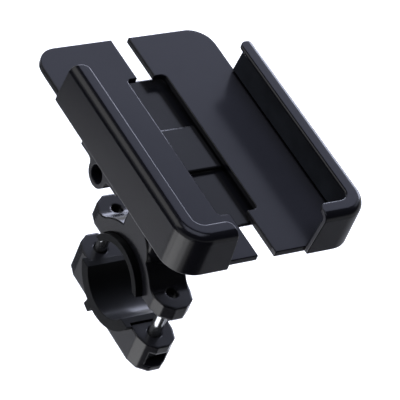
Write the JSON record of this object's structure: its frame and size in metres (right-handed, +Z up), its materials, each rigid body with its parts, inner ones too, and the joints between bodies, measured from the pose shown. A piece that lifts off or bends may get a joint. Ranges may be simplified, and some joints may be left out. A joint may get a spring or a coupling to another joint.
{
  "type": "phone handlebar mount",
  "caption": "Phone holder with two self-centring lipped jaws on a swivelling carriage, carried by a split handlebar clamp with rubber liners.",
  "frame": {"origin": "middle of the handlebar bore, on its axis", "axes": "+X along the handlebar, +Y towards the top of the phone, +Z up through the holder"},
  "size_m": [0.0838, 0.1192, 0.1148],
  "materials": {
    "black_aluminium": "fine matt black anodised",
    "black_rubber": "matt black rubber",
    "steel": "bright turned steel",
    "brass": "turned brass",
    "nylon": "natural nylon"
  },
  "bodies": {
    "clamp": {"clamp_upper_half": "black_aluminium", "liner_upper": "black_rubber", "swivel_friction_washer": "nylon", "swivel_spring_washer": "steel"},
    "lower_clamp": {"clamp_lower_half": "black_aluminium", "liner_lower": "black_rubber", "clamp_screw_washers": "steel"},
    "front_screw": {"clamp_screw_front": "steel"},
    "rear_screw": {"clamp_screw_rear": "steel"},
    "carriage": {"carriage_body": "black_aluminium", "guide_rods": "steel", "swivel_bolt": "steel"},
    "drive": {"lead_screw": "steel", "thrust_collars": "steel"},
    "left": {"left_jaw": "black_aluminium", "left_pad": "black_rubber", "left_slide": "black_aluminium", "left_nut": "brass", "left_bushes": "brass", "left_slide_screws": "steel"},
    "right": {"right_jaw": "black_aluminium", "right_pad": "black_rubber", "right_slide": "black_aluminium", "right_nut": "brass", "right_bushes": "brass", "right_slide_screws": "steel"}
  },
  "joints": [
    {"name": "clamp_close", "type": "slide", "parent": "clamp", "child": "lower_clamp", "axis": [0, 0, 1], "range_m": [-0.0015, 0.0096]},
    {"name": "front_screw_turn", "type": "hinge", "parent": "lower_clamp", "child": "front_screw", "pos_m": [0, -0.02315, 0], "axis": [0, 0, 1], "range_deg": [-676, 4321]},
    {"name": "rear_screw_turn", "type": "hinge", "parent": "lower_clamp", "child": "rear_screw", "pos_m": [0, 0.02315, 0], "axis": [0, 0, 1], "range_deg": [-676, 4321]},
    {"name": "swivel", "type": "hinge", "parent": "clamp", "child": "carriage", "pos_m": [0, 0, 0.044], "axis": [0, 0, 1], "continuous": true},
    {"name": "left_jaw_slide", "type": "slide", "parent": "carriage", "child": "left", "axis": [-1, 0, 0], "range_m": [-0.0035, 0.008]},
    {"name": "right_jaw_slide", "type": "slide", "parent": "carriage", "child": "right", "axis": [1, 0, 0], "range_m": [-0.0035, 0.008]},
    {"name": "lead_screw_turn", "type": "hinge", "parent": "carriage", "child": "drive", "pos_m": [0, 0, 0.0656], "axis": [1, 0, 0], "range_deg": [-1261, 2881]}
  ],
  "couplings": [
    {"joint": "front_screw_turn", "follows": "clamp_close", "rad_per_m": 7854},
    {"joint": "rear_screw_turn", "follows": "clamp_close", "rad_per_m": 7854},
    {"joint": "right_jaw_slide", "follows": "left_jaw_slide", "ratio": 1},
    {"joint": "lead_screw_turn", "follows": "left_jaw_slide", "rad_per_m": 6283.2}
  ]
}
